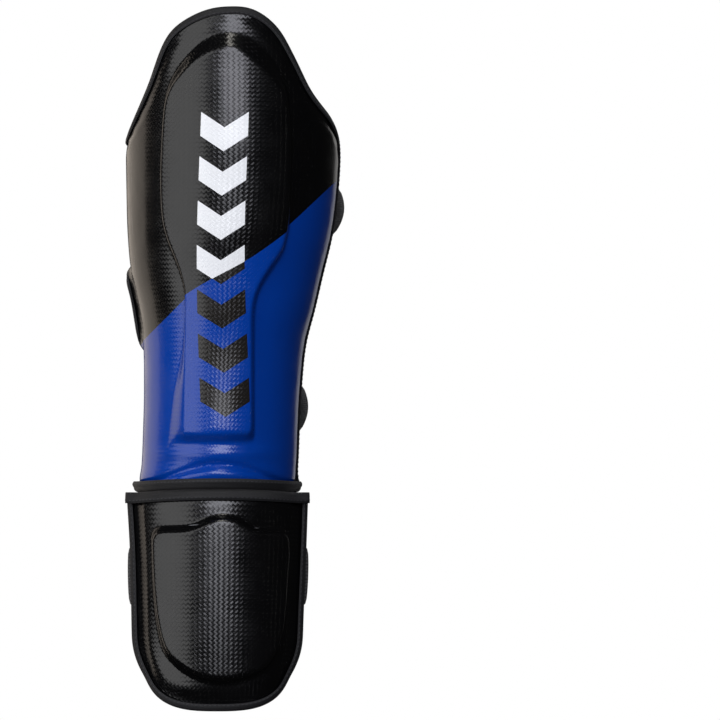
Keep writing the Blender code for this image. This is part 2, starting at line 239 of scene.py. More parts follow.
# the skin over soft foam: slow hollows, the pressed weave, then a fine grain
skinLook = {"hollows": 18.18 * mm, "hollowDepth": 0.9 * mm, "grain": 0.7143 * mm, "grainDepth": 0.05 * mm,
            "smooth": 0.17, "worn": 0.27}


def leatherBump(tree, shader, uv):
    look = skinLook
    place = addNode(tree, "TexCoord").outputs["Object"]
    soft = addNode(tree, "TexNoise", {
        "Vector": place, "Scale": 1 / look["hollows"], "Detail": 2.0, "Roughness": 0.5}).outputs["Fac"]
    grain = addNode(tree, "TexNoise", {
        "Vector": place, "Scale": 1 / look["grain"], "Detail": 2.0, "Roughness": 0.6}).outputs["Fac"]
    hollow = addNode(tree, "Bump", {"Strength": 0.35, "Distance": look["hollowDepth"], "Height": soft})
    pressed = addNode(tree, "Bump", {"Strength": 1.0, "Distance": weaveLook["depth"],
                                     "Height": weaveHeight(tree, uv), "Normal": hollow})
    fine = addNode(tree, "Bump", {"Strength": 0.25, "Distance": look["grainDepth"], "Height": grain,
                                  "Normal": pressed})
    tree.links.new(fine.outputs[0], shader.inputs["Normal"])
    worn = addNode(tree, "MapRange", {"Value": soft, "From Min": 0.3, "From Max": 0.7,
                                      "To Min": look["smooth"], "To Max": look["worn"]})
    tree.links.new(worn.outputs[0], shader.inputs["Roughness"])


# a row of plain chevrons down the panel, light on the black skin and dark on the blue
printLook = {"top": 426 * mm, "pitch": 31.5 * mm, "half": 15.3 * mm, "drop": 0.72, "thick": 17.0 * mm,
             "marks": 7}
skinColours = {"black": "#060607", "blue": "#003c9e", "light": "#f2f4f6", "dark": "#1c1a18"}
glossLook = {"IOR": 1.5, "Specular IOR Level": 0.42, "Coat Weight": 0.2, "Coat Roughness": 0.12}


# 1 inside the chevrons and 0 outside them; aside is the distance from the row's middle
def chevrons(tree, aside, height):
    fall = addNode(tree, "Math", {"operation": "SUBTRACT", 0: printLook["top"], 1: height})
    cells = addNode(tree, "Math", {"operation": "DIVIDE", 0: fall, 1: printLook["pitch"]})
    share = addNode(tree, "Math", {"operation": "FRACT", 0: cells})
    inCell = addNode(tree, "Math", {"operation": "MULTIPLY", 0: share, 1: printLook["pitch"]})
    left = addNode(tree, "Math", {"operation": "SUBTRACT", 0: printLook["half"], 1: aside})
    start = addNode(tree, "Math", {"operation": "MULTIPLY", 0: left, 1: printLook["drop"]})
    past = addNode(tree, "Math", {"operation": "SUBTRACT", 0: inCell, 1: start})
    limits = ((aside, "LESS_THAN", printLook["half"]), (cells, "GREATER_THAN", 0.0),
              (cells, "LESS_THAN", float(printLook["marks"])), (past, "GREATER_THAN", 0.0),
              (past, "LESS_THAN", printLook["thick"]))
    tests = [addNode(tree, "Math", {"operation": operation, 0: value, 1: limit})
             for value, operation, limit in limits]
    printed = tests[0]
    for test in tests[1:]:
        printed = addNode(tree, "Math", {"operation": "MULTIPLY", 0: printed, 1: test})
    return printed


# polyurethane leather, press-moulded over foam: a hard narrow gloss that the weave breaks up,
# black above a slanting line and blue below it, printed on one skin
def paintedLeather():
    material, tree, shader = startMaterial("blackAndBlueLeather", glossLook)
    flat = addNode(tree, "UVMap", {"uv_map": "flat"})
    marks = addNode(tree, "SeparateXYZ", {0: addNode(tree, "UVMap", {"uv_map": "paint"})})
    height = addNode(tree, "SeparateXYZ", {0: flat}).outputs[1]
    aside = addNode(tree, "Math", {"operation": "ABSOLUTE", 0: marks})
    above = addNode(tree, "Math", {"operation": "GREATER_THAN", 0: marks.outputs[1], 1: 0.0})
    colours = {key: linearColour(code) for key, code in skinColours.items()}
    skin = addNode(tree, "Mix", {"data_type": "RGBA", 0: above, 6: colours["blue"], 7: colours["black"]})
    ink = addNode(tree, "Mix", {"data_type": "RGBA", 0: above, 6: colours["dark"], 7: colours["light"]})
    colour = addNode(tree, "Mix", {"data_type": "RGBA", 0: chevrons(tree, aside, height),
                                   6: skin.outputs[2], 7: ink.outputs[2]})
    tree.links.new(colour.outputs[2], shader.inputs["Base Color"])
    leatherBump(tree, shader, flat)
    return material


def plainLeather(name, code):
    material, tree, shader = startMaterial(name, dict(glossLook, **{"Base Color": linearColour(code)}))
    leatherBump(tree, shader, addNode(tree, "UVMap", {"uv_map": "flat"}))
    return material


# ribs run across the band and threads along it; fuzz roughens both
def wovenFabric(name, look):
    material, tree, shader = startMaterial(name, {
        "Roughness": look["roughness"], "Sheen Weight": look["sheen"], "Sheen Roughness": 0.5, "IOR": 1.45})
    flat = addNode(tree, "SeparateXYZ", {0: addNode(tree, "UVMap", {"uv_map": "flat"})})
    along, across = [
        addNode(tree, "Math", {"operation": "MULTIPLY", 0: flat.outputs[side], 1: 2 * math.pi / look[pitch]})
        for side, pitch in enumerate(("alongPitch", "acrossPitch"))]
    slant = addNode(tree, "Math", {"operation": "MULTIPLY", 0: across, 1: look["twill"]})
    slant = addNode(tree, "Math", {"operation": "ADD", 0: along, 1: slant})
    rib = addNode(tree, "Math", {"operation": "SINE", 0: slant})
    thread = addNode(tree, "Math", {"operation": "SINE", 0: across})
    thread = addNode(tree, "Math", {"operation": "MULTIPLY", 0: thread, 1: look["threadShare"]})
    height = addNode(tree, "Math", {"operation": "ADD", 0: rib, 1: thread})
    fuzz = addNode(tree, "TexNoise", {
        "Vector": addNode(tree, "TexCoord").outputs["Object"], "Scale": 1 / (1.111 * mm), "Detail": 3.0,
        "Roughness": 0.6})
    fuzz = addNode(tree, "Math", {"operation": "MULTIPLY", 0: fuzz.outputs["Fac"], 1: 1.2})
    rough = addNode(tree, "Math", {"operation": "ADD", 0: height, 1: fuzz})
    bump = addNode(tree, "Bump", {"Strength": 0.8, "Distance": look["depth"], "Height": rough})
    tree.links.new(bump.outputs[0], shader.inputs["Normal"])
    # painted shade and painted highlight: the colour goes darker in the rib grooves and lighter on the
    # crests, following the ribs' height
    paintedGrooveShade = addNode(tree, "MapRange", {"Value": height, "From Min": -1.2, "From Max": 1.6})
    colour = addNode(tree, "Mix", {"data_type": "RGBA", 0: paintedGrooveShade, 6: linearColour(look["dark"]),
                                   7: linearColour(look["light"])})
    tree.links.new(colour.outputs[2], shader.inputs["Base Color"])
    return material


def fuzzyFabric(name, look):
    material, tree, shader = startMaterial(name, {
        "Roughness": look["roughness"], "Sheen Weight": look["sheen"], "IOR": 1.45})
    fuzz = addNode(tree, "TexNoise", {
        "Vector": addNode(tree, "TexCoord").outputs["Object"], "Scale": 1 / look["grain"], "Detail": 4.0,
        "Roughness": 0.7}).outputs["Fac"]
    bump = addNode(tree, "Bump", {"Strength": 0.9, "Distance": look["depth"], "Height": fuzz})
    tree.links.new(bump.outputs[0], shader.inputs["Normal"])
    colour = addNode(tree, "Mix", {"data_type": "RGBA", 0: fuzz, 6: linearColour(look["dark"]),
                                   7: linearColour(look["light"])})
    tree.links.new(colour.outputs[2], shader.inputs["Base Color"])
    return material


shinLeather = paintedLeather()

# the same gloss leather, all black: only its highlights show its shape
instepLeather = plainLeather("blackLeather", skinColours["black"])

# polyester tape, woven flat and ironed over the edge: a dull grey line beside the gloss
tapeFabric = wovenFabric("foldedEdgeTape", {
    "alongPitch": 1.1 * mm, "acrossPitch": 1.1 * mm, "twill": 0.5, "threadShare": 0.4, "depth": 0.10 * mm,
    "roughness": 0.62, "sheen": 0.04, "dark": "#0b0b0c", "light": "#1a1a1d"})

# nylon webbing, woven heavy: deep cross ribs that catch soft light
webbingFabric = wovenFabric("nylonWebbing", {
    "alongPitch": 1.8 * mm, "acrossPitch": 1.5 * mm, "twill": 0.0, "threadShare": 0.9, "depth": 0.22 * mm,
    "roughness": 0.66, "sheen": 0.15, "dark": "#101011", "light": "#252528"})

# knitted elastic: long dull ribs, no gloss
elasticFabric = wovenFabric("ribbedElastic", {
    "alongPitch": 1.2 * mm, "acrossPitch": 2.6 * mm, "twill": 0.0, "threadShare": 1.6, "depth": 0.25 * mm,
    "roughness": 0.8, "sheen": 0.2, "dark": "#121213", "light": "#2a2a2d"})

# polyester jersey, knitted: a matt dark grey with small stitches and a faint sheen
liningFabric = wovenFabric("knittedLining", {
    "alongPitch": 1.7 * mm, "acrossPitch": 1.7 * mm, "twill": 0.0, "threadShare": 1.0, "depth": 0.25 * mm,
    "roughness": 0.9, "sheen": 0.25, "dark": "#161618", "light": "#303034"})

# brushed nylon loops: a soft pile that swallows light
loopFabric = fuzzyFabric("loopPile", {"grain": 0.625 * mm, "depth": 0.5 * mm, "roughness": 0.95, "sheen": 0.3,
                                      "dark": "#0b0b0c", "light": "#26262a"})

# moulded nylon hooks: small stiff points with a slight glint
hookFabric = fuzzyFabric("hookTape", {"grain": 1.111 * mm, "depth": 0.6 * mm, "roughness": 0.7, "sheen": 0.0,
                                      "dark": "#0d0d0e", "light": "#202023"})

# moulded closed-cell foam: a chalky light grey with fine cells
foamSkin = fuzzyFabric("closedCellFoam", {"grain": 0.9091 * mm, "depth": 0.2 * mm, "roughness": 0.9,
                                          "sheen": 0.0, "dark": "#8d8d90", "light": "#a9a9ac"})

# cut dense foam: darker, with cells too small to tell apart
denseFoamSkin = fuzzyFabric("denseFoam", {"grain": 0.7692 * mm, "depth": 0.15 * mm, "roughness": 0.9,
                                          "sheen": 0.0, "dark": "#5c5d60", "light": "#6f7074"})

# spun polyester thread: slightly brighter than the tape it is sewn through
threadFabric = fuzzyFabric("sewingThread", {"grain": 0.4 * mm, "depth": 0.1 * mm, "roughness": 0.6,
                                            "sheen": 0.1, "dark": "#1d1d20", "light": "#3a3a3f"})
print("materials ready")


# the shin section's outer surface: height, middle x, half width, depth in front, depth behind
shinShape = {
    "sections": (
        (0.155, -0.0062, 0.0575, 0.060, 0.044), (0.175, -0.0040, 0.0560, 0.060, 0.045),
        (0.199, -0.0030, 0.0560, 0.061, 0.047), (0.231, -0.0018, 0.0565, 0.062, 0.049),
        (0.262, -0.0005, 0.0585, 0.064, 0.051), (0.285, 0.0010, 0.0630, 0.067, 0.054),
        (0.310, 0.0013, 0.0685, 0.070, 0.056), (0.340, 0.0035, 0.0735, 0.074, 0.060),
        (0.372, 0.0051, 0.0760, 0.077, 0.061), (0.408, 0.0057, 0.0770, 0.080, 0.062),
        (0.500, 0.0057, 0.0770, 0.083, 0.063)),
    "leftEdge": (
        (0.155, 112), (0.175, 122), (0.199, 129), (0.231, 129), (0.250, 112), (0.262, 91),
        (0.285, 88), (0.310, 89), (0.322, 108), (0.340, 129), (0.5, 129)),
    "rightEdge": 84.0, "wingEdge": -129.0,  # degrees from the front
    "arch": (
        (-129, 0.390), (-122, 0.399), (-88, 0.4035), (-68, 0.4165), (-50, 0.442), (-36, 0.475),
        (-27, 0.485), (-3, 0.495), (10, 0.4935), (23, 0.481), (32, 0.463), (44, 0.439),
        (70, 0.414), (79, 0.405), (84, 0.394)),
    "low": 160.2 * mm, "level": 384 * mm, "under": 3.2 * mm, "edge": 5 * mm, "middle": 14 * mm,
    "dip": 1.6 * mm, "dipWidth": 12 * mm, "raise": 8 * mm, "hemLift": 2.6 * mm, "skin": 0.9 * mm,
    "flare": 4.5 * mm, "flareAt": 154 * mm, "flareOver": 6.5 * mm,
    "curl": 2.6 * mm, "curlLow": 246 * mm, "curlHigh": 324 * mm, "curlOver": 9 * mm,
    "ridge": 2.0 * mm, "crease": 2.7 * mm, "crescent": 2.4 * mm, "hem": 4.2 * mm, "ripple": 0.22 * mm,
    "deepest": 3.7 * mm,
}


def shinPoint(angle, height):
    shape = shinShape
    middle, half, front, back = [smoothRead(shape["sections"], height, column) for column in (1, 2, 3, 4)]
    half = half + shape["flare"] * np.exp(-((height - shape["flareAt"]) / shape["flareOver"]) ** 2)
    turn = ease(np.cos(angle) / 0.24 + 0.5)
    depth = back + (front - back) * turn
    edge = -np.radians(smoothRead(shape["leftEdge"], height))
    curl = np.clip(1 - (angle - edge) * half / shape["curlOver"], 0, None) ** 2 * (angle < -1.0)
    curl = curl * shape["curl"] * ease((height - shape["curlLow"]) / (18 * mm))
    curl = curl * ease((shape["curlHigh"] - height) / (14 * mm))
    return np.stack([middle + half * np.sin(angle) - curl, -depth * np.cos(angle), height], axis=-1)


def shinAt(angle, height):
    height = np.asarray(height, float)
    point = shinPoint(angle, height)
    along = shinPoint(angle + 0.004, height) - shinPoint(angle - 0.004, height)
    out = np.stack([along[..., 1], -along[..., 0], np.zeros_like(height)], axis=-1)
    return point, out / np.linalg.norm(out, axis=-1, keepdims=True)


# the front rises in a shallow arch near the ankle edge
def lifted(point, lift, low, reach):
    point = point.copy()
    share = 1.0 - ease(np.abs(point[..., 2] - low) / reach)
    arch = 1.0 - np.clip(np.abs(point[..., 0] + 6 * mm) / (58 * mm), 0, 1) ** 2
    point[..., 2] += lift * share * arch * (point[..., 1] < 0)
    return point


def archAt(angle, beyond):
    arch, degrees = shinShape["arch"], np.degrees(angle)
    top = smoothRead(arch, degrees)
    slope = (smoothRead(arch, degrees + 0.5) - smoothRead(arch, degrees - 0.5)) / (76 * mm * math.radians(1))
    return top + beyond * np.sqrt(1 + np.clip(slope, -1.3, 1.3) ** 2)


def shinSheet(columns, lowRows, highRows, beyond):
    turn = beyond / (70 * mm)
    right = math.radians(shinShape["rightEdge"]) + turn
    low = shinShape["low"] - beyond * 0.8
    level = shinShape["level"]
    place = np.linspace(0, 1, columns)
    levels = low + (level - low) * np.linspace(0, 1, lowRows) ** 1.25
    knots = (0, 0.25, 0.81, 1)
    inside = (-math.radians(45), math.radians(38))
    highAngle = np.interp(place, knots, (math.radians(shinShape["wingEdge"]) - turn, *inside, right))
    rows, angles = [], []
    for height in levels:
        left = -np.radians(smoothRead(shinShape["leftEdge"], height)) - turn
        angles.append(np.interp(place, knots, (left, *inside, right)))
        rows.append(np.full(columns, height))
    top = archAt(highAngle, beyond)
    for share in np.linspace(0, 1, highRows + 1)[1:]:
        angles.append(highAngle)
        rows.append(level + (top - level) * share)
    angle, height = np.concatenate(angles), np.concatenate(rows)
    point, out = shinAt(angle, height)
    return {"size": (columns, lowRows + highRows), "angle": angle, "height": height, "out": out,
            "point": lifted(point, shinShape["hemLift"], low, 30 * mm)}


def resample(line, step):
    lengths = np.concatenate([[0], np.cumsum(np.linalg.norm(np.diff(line[:, :3], axis=0), axis=1))])
    count = max(2, int(round(lengths[-1] / step)) + 1)
    at = np.linspace(0, lengths[-1], count)
    return np.stack([np.interp(at, lengths, line[:, k]) for k in range(line.shape[1])], axis=1)


def smoothLine(line, passes):
    for _ in range(passes):
        line[1:-1] = (line[:-2] + 2 * line[1:-1] + line[2:]) / 4
    return line


def rimLine(angle, height, surface, passes=14):
    point, out = surface(angle, height)
    line = smoothLine(resample(np.concatenate([point, out], axis=1), 1.5 * mm), passes)
    return line[:, :3], line[:, 3:] / np.linalg.norm(line[:, 3:], axis=1, keepdims=True)


def shinRimLine():
    shape = shinShape
    climb = np.linspace(shape["low"] - 1.2 * mm, 0.390, 300)
    left = -np.radians(smoothRead(shape["leftEdge"], climb))
    across = np.radians(np.linspace(shape["wingEdge"], shape["rightEdge"], 500))
    fall = np.linspace(0.394, shape["low"] - 1.2 * mm, 200)
    angle = np.concatenate([left, across[1:-1], np.full(200, math.radians(shape["rightEdge"]))])
    height = np.concatenate([climb, archAt(across[1:-1], 0.0), fall])
    return rimLine(angle, height, shinAt)


# seen from the front, x and height in mm: the raised panel's foot and crown, the crease above the
# ankle and the line between the colours; printAxis is the chevrons' x in mm at a height in metres
panelLook = {
    "foot": (
        (-41, 186), (-40, 197), (-38.6, 210), (-36, 229), (-32, 246), (-28.8, 265), (-27.2, 285),
        (-28, 300), (-30.5, 311), (-34.5, 322), (-40, 336), (-43.8, 352), (-44.8, 376), (-44.2, 400),
        (-43.2, 422), (-41.5, 438), (-37.7, 449.7), (-31, 461), (-24, 470), (-16, 477.5), (-6, 482),
        (3.6, 483.8), (12, 482), (21, 477), (30, 469.5), (36, 461), (41.5, 452), (45.8, 443),
        (47, 424), (47.8, 400), (47.4, 376), (46.8, 352), (43, 330), (38, 320), (31, 309.5), (25, 299),
        (22, 286), (21.4, 265), (21.4, 240), (21.4, 215), (21.4, 200), (20.5, 193), (13, 191),
        (0, 190.4), (-15, 190), (-28, 189.3), (-37, 187)),
    "crown": (
        (-25.2, 199.5), (-25, 215), (-25, 240), (-25, 265), (-25, 287), (-25.8, 300), (-28.3, 311),
        (-32.2, 322.5), (-37, 336), (-40, 352), (-41, 376), (-40.3, 400), (-39, 422), (-37.3, 434),
        (-33, 444.5), (-26, 453.5), (-18, 461.5), (-9, 467.5), (-1.5, 470.6), (3.6, 471.4),
        (9.5, 469.8), (16.5, 465), (24, 457.5), (31.5, 449), (38, 440), (40.8, 430), (42.5, 415),
        (43, 400), (42.4, 376), (41.6, 352), (38.2, 333), (34, 324), (27.5, 313.5), (21, 301), (17.2, 287),
        (16.4, 265), (16.2, 240), (16, 215), (15.8, 202), (14.5, 198), (8, 197.4), (-5, 197.2),
        (-18, 197.4), (-23.5, 197.8)),
    "creaseArch": ((-70, 158), (-62, 160), (-45, 165), (-25, 171.5), (-5, 175), (16, 172), (33, 165.5),
                   (49, 159), (60, 157.5)),
    "colourLine": ((-100, 221), (-59, 263), (-41, 280.5), (-26, 295), (20, 324.5), (40.5, 341), (81, 379),
                   (100, 397)),
    "printAxis": ((0.205, 0.4), (0.32, -2.2), (0.425, 0.9)),
}


def raisedBy(look, x, z):
    foot = insideBy(roundOutline(look["foot"]), x, z)
    crown = insideBy(roundOutline(look["crown"]), x, z)
    climb = np.clip(foot, 0, None) / (np.clip(foot, 0, None) + np.clip(-crown, 0, None) + 1e-6)
    return np.where(crown >= 0, 1.0, np.where(foot > 0, 0.5 * climb + 0.5 * ease(climb), 0.0))


def shinRelief(sheet):
    shape, point, angle = shinShape, sheet["point"], sheet["angle"]
    x, z = point[:, 0] / mm, point[:, 2] / mm
    ahead = ease(np.cos(angle) / 0.12)
    raised = raisedBy(panelLook, x, z) * (np.cos(angle) > 0)
    low = z - smoothRead(panelLook["creaseArch"], x)
    band = np.exp(-((z - 183) / 4.8) ** 2) * np.exp(-((x + 8) / 38) ** 4)
    crease = np.exp(-(low / np.where(low > 0, 2.4, 1.8)) ** 2)
    crescent = ease(-low / 6.0) * np.exp(-((x + 8) / 44) ** 4)
    away = outlineDistance(point, sheet["rim"])
    dip = 1.0 - ease(away / shape["dipWidth"])
    hem = np.exp(-((sheet["height"] - shape["low"] + 2 * mm) / (4.4 * mm)) ** 2)
    ripple = np.sin(sheet["height"] / (2.1 * mm) + 3 * np.sin(angle * 4) + angle * 9)
    ripple = ripple * np.exp(-((away - 5.5 * mm) / (3.2 * mm)) ** 2) * ease((z - 180) / 40)
    folds = shape["ridge"] * band - shape["crease"] * crease + shape["crescent"] * crescent
    relief = (raised * shape["raise"] + ripple * shape["ripple"] + folds * ahead
              - shape["dip"] * dip - shape["hem"] * hem)
    return np.maximum(softened(sheet, relief), -shape["deepest"]), away


def shinPad():
    shape = shinShape
    sheet = shinSheet(196, 124, 100, shape["under"])
    rimPoint, rimOut = shinRimLine()
    sheet["rim"] = rimPoint + beyondEdge(rimPoint, rimOut) * shape["under"]
    relief, away = shinRelief(sheet)
    point, angle = sheet["point"], sheet["angle"]
    x, z = point[:, 0], point[:, 2]
    sheet["flat"] = np.stack([angle * 72 * mm, z], axis=1)
    axis = smoothRead(panelLook["printAxis"], z) * mm
    aside = np.where(np.cos(angle) > 0.3, x - axis, 1.0)
    line = smoothRead(panelLook["colourLine"], x / mm) * mm
    sheet["paint"] = np.stack([aside, z - line], axis=1)
    cover = bendSlab("shinCover", sheet, relief, relief - shape["skin"], shinLeather, 50)
    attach(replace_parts(cover, "shin_cover"), "shin")
    return sheet, relief, away


# the way past the edge: sideways from the rim, along the surface
def beyondEdge(point, out):
    along = np.gradient(point, axis=0)
    side = np.cross(out, along)
    return side / np.linalg.norm(side, axis=1, keepdims=True)


shinGrid, shinHeight, shinAway = shinPad()
print("shin cover ready")


# each point takes the lowest value near it, so foam stays under a crease
def lowest(field, steps):
    for _ in range(steps):
        spread = np.pad(field, 1, mode="edge")
        field = np.minimum.reduce([spread[1:-1, 1:-1], spread[:-2, 1:-1], spread[2:, 1:-1], spread[1:-1, :-2],
                                   spread[1:-1, 2:]])
    return field


def coarser(sheet, fields, every):
    columns, rows = sheet["size"]
    keepColumns, keepRows = [np.unique(np.append(np.arange(0, count, every), count - 1))
                             for count in (columns, rows)]
    pick = (keepRows[:, None] * columns + keepColumns[None, :]).ravel()
    small = {"size": (len(keepColumns), len(keepRows))}
    for key in ("point", "out", "flat"):
        small[key] = sheet[key][pick]
    return small, [field[pick] for field in fields]


def padThickness(shape, away, fromHem):
    near = np.minimum(away - shape["under"], fromHem)
    return shape["edge"] + (shape["middle"] - shape["edge"]) * ease((near - 9 * mm) / (20 * mm))


# foam fills the space between the moulded skin and the lining; the knitted lining is glued to it
def padLayers(body, shape, grid, relief, away, fromHem):
    thick = padThickness(shape, away, fromHem)
    under = lowest(sideways(grid, np.minimum(relief, 0.0)), 4).ravel() - shape["skin"] - 0.1 * mm
    inner = np.minimum(-thick + 0.9 * mm, under - 0.1 * mm)
    low = np.minimum(inner + 0.25 * mm, under - 0.1 * mm)
    small, (top, bottom) = coarser(grid, (under, low), 3)
    foam = bendSlab(body + "Foam", small, top, bottom, foamSkin, 60)
    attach(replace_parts(foam, body + "_foam"), body)
    small, (face, back) = coarser(grid, (inner - 0.05 * mm, inner - 0.85 * mm), 2)
    lining = bendSlab(body + "Lining", small, face, back, liningFabric, 60)
    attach(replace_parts(lining, body + "_lining"), body)


padLayers("shin", shinShape, shinGrid, shinHeight, shinAway, shinGrid["height"] - shinShape["low"])
print("shin foam and lining ready")


# the hard block under the raised panel fills the panel's hollow
def widthAt(outline, heights):
    places = np.arange(-62, 62, 0.4)
    lows, highs = [], []
    for height in heights:
        inside = places[insideBy(outline, places, np.full(len(places), height)) > 0.8]
        lows.append(inside.min() if len(inside) else 0.0)
        highs.append(inside.max() if len(inside) else 0.0)
    return np.array(lows), np.array(highs)


def blockSheet(look, surface, angleAt, reach, size):
    columns, rows = size
    heights = np.linspace(*reach, rows)
    lefts, rights = widthAt(roundOutline(look["foot"]), heights)
    x = lefts[:, None] + (rights - lefts)[:, None] * np.linspace(0, 1, columns)[None, :]
    z = np.repeat(heights[:, None], columns, axis=1)
    x, z = x.ravel() * mm, z.ravel() * mm
    point, out = surface(angleAt(x, z), z)
    return {"size": size, "point": point, "out": out,
            "raised": raisedBy(look, point[:, 0] / mm, point[:, 2] / mm)}


def shinAngleAt(x, z):
    sections = shinShape["sections"]
    return np.arcsin(np.clip((x - smoothRead(sections, z, 1)) / smoothRead(sections, z, 2), -0.98, 0.98))


def impactBlock(body, block, shape):
    top = np.maximum(block["raised"] * shape["raise"], 0.15 * mm) - shape["skin"] - 0.12 * mm
    bottom = np.full(len(top), -shape["skin"] - 0.08 * mm)
    top = np.maximum(top, bottom + 0.03 * mm)
    foam = bendSlab(body + "ImpactFoam", block, top, bottom, denseFoamSkin, 60)
    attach(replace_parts(foam, body + "_impact_foam"), body)


impactBlock("shin", blockSheet(panelLook, shinAt, shinAngleAt, (191.5, 482.5), (40, 120)), shinShape)
print("shin block ready")


# folded tape sewn over every edge: a U of thin fabric, puffed a little, with a row of stitches
tapeLook = {"start": 0.9 * mm, "turn": 3.4 * mm, "top": -0.6 * mm, "bottom": -5.55 * mm, "thick": 0.7 * mm,
            "puff": 0.55 * mm, "pitch": 3.3 * mm, "inset": 1.9 * mm}


def tapeProfile(look):
    radius = (look["top"] - look["bottom"]) / 2
    middle = (look["top"] + look["bottom"]) / 2
    leg = np.linspace(0, 1, 7)[:-1]
    legAway = look["start"] + (look["turn"] - look["start"]) * leg
    puff = look["puff"] * np.sin(leg * math.pi)
    bend = np.linspace(math.pi / 2, -math.pi / 2, 9)
    away = np.concatenate([legAway, look["turn"] + radius * np.cos(bend), legAway[::-1]])
    height = np.concatenate([look["top"] + puff, middle + radius * np.sin(bend),
                             np.full(len(leg), look["bottom"])])
    return np.stack([away, height], axis=1)


# side is the way over the edge, one for the whole line or one for each point; the ends are pinched
def foldedTape(name, line, side, look):
    point, out = line
    profile = tapeProfile(look)
    steps = np.arange(len(point))
    ends = np.minimum(steps, steps[::-1]) / 2.5
    full = np.sqrt(1 - (1 - np.clip(ends, 0, 1)) ** 2) * 0.86 + 0.14
    centre = (look["top"] + look["bottom"]) / 2
    normal = np.gradient(profile, axis=0)
    normal = np.stack([-normal[:, 1], normal[:, 0]], axis=1)
    normal /= np.linalg.norm(normal, axis=1, keepdims=True)
    height = centre + (profile[:, 1, None, None] - centre) * full[None, :, None]
    place = point[None] + side[None] * profile[:, 0, None, None] + out[None] * height
    facing = side[None] * normal[:, 0, None, None] + out[None] * normal[:, 1, None, None]
    lengths = np.concatenate([[0], np.cumsum(np.linalg.norm(np.diff(point, axis=0), axis=1))])
    around = np.concatenate([[0], np.cumsum(np.linalg.norm(np.diff(profile, axis=0), axis=1))])
    flat = np.stack(np.broadcast_arrays(lengths[None], around[:, None]), axis=-1)
    sheet = {"size": (len(point), len(profile)), "point": place.reshape(-1, 3), "out": facing.reshape(-1, 3),
             "flat": flat.reshape(-1, 2)}
    half = np.full(len(sheet["point"]), look["thick"] / 2)
    return bendSlab(name, sheet, half, -half, tapeFabric, 50)


# lockstitches: short plump grains of thread lying along the seam
stitchLook = {"length": 2.3 * mm, "thick": 0.36 * mm, "thin": 0.3 * mm, "strapPitch": 2.9 * mm}


def stitchRow(bm, point, out, pitch, thick):
    line = resample(np.concatenate([point, out], axis=1), pitch)
    middle = (line[1:] + line[:-1]) / 2
    along = np.diff(line[:, :3], axis=0)
    for spot, way in zip(middle, along):
        way = Vector(way).normalized()
        up = Vector(spot[3:]).normalized()
        side = up.cross(way).normalized()
        turn = Matrix((way * stitchLook["length"] / 2, side * thick, up * thick)).transposed().to_4x4()
        turn.translation = Vector(spot[:3])
        bmesh.ops.create_icosphere(bm, subdivisions=1, radius=1.0, matrix=turn)


def stitchPiece(name, rows, pitch, body, thick):
    bm = bmesh.new()
    for point, out in rows:
        stitchRow(bm, point, out, pitch, thick)
    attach(finishPiece(name, bm, threadFabric, 180), body)


# the stitches keep clear of the tape's ends by that many points
def tapedEdge(node, body, line, side, look, clear):
    point, out = line
    tape = foldedTape(node + "Tape", line, side, look)
    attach(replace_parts(tape, node), body)
    height = look["top"] + look["thick"] / 2 + look["puff"] * 0.85
    row = (point + side * look["inset"] + out * height)[clear:-clear]
    stitchPiece(node + "Stitches", [(row, out[clear:-clear])], look["pitch"], body,
                stitchLook["thick"])


def hemLine(surface, angles, shape, height):
    point, out = surface(angles, np.full(len(angles), height))
    point = lifted(point, shape["hemLift"], height, 30 * mm)
    line = resample(np.concatenate([point, out], axis=1), 1.5 * mm)
    return line[:, :3], line[:, 3:] / np.linalg.norm(line[:, 3:], axis=1, keepdims=True)


shinRim = shinRimLine()
tapedEdge("shin_binding", "shin", shinRim, beyondEdge(*shinRim), tapeLook, 2)

# the ankle edges have a fuller tape, folded straight up or down
hemLook = dict(tapeLook, start=-2.3 * mm, turn=1.75 * mm, inset=-0.6 * mm, top=0.9 * mm, puff=0.9 * mm)
upward = np.array([0.0, 0.0, 1.0])
shinHem = hemLine(shinAt, np.radians(np.linspace(88, -116, 240)), shinShape, shinShape["low"])
tapedEdge("shin_hem_binding", "shin", shinHem, -upward, hemLook, 3)
print("shin tapes ready")


# the instep section: height, middle x, half width, y of its front line, depth at its sides
instepShape = {
    "sections": ((0.000, -0.0055, 0.0535, -0.0560, 0.020), (0.050, -0.0055, 0.0548, -0.0585, 0.024),
                 (0.115, -0.0050, 0.0570, -0.0600, 0.027), (0.155, -0.0055, 0.0590, -0.0605, 0.029)),
    "turn": math.radians(60), "high": 149.8 * mm, "under": 3.2 * mm, "edge": 5 * mm, "middle": 11 * mm,
    "dip": 3.8 * mm, "dipWidth": 16 * mm, "raise": 7 * mm, "hemLift": 2.6 * mm, "skin": 0.9 * mm,
    "flare": 5.6 * mm, "flareFrom": 0.88, "flareOver": 0.17, "hem": 2.4 * mm, "deepest": 4.4 * mm,
}

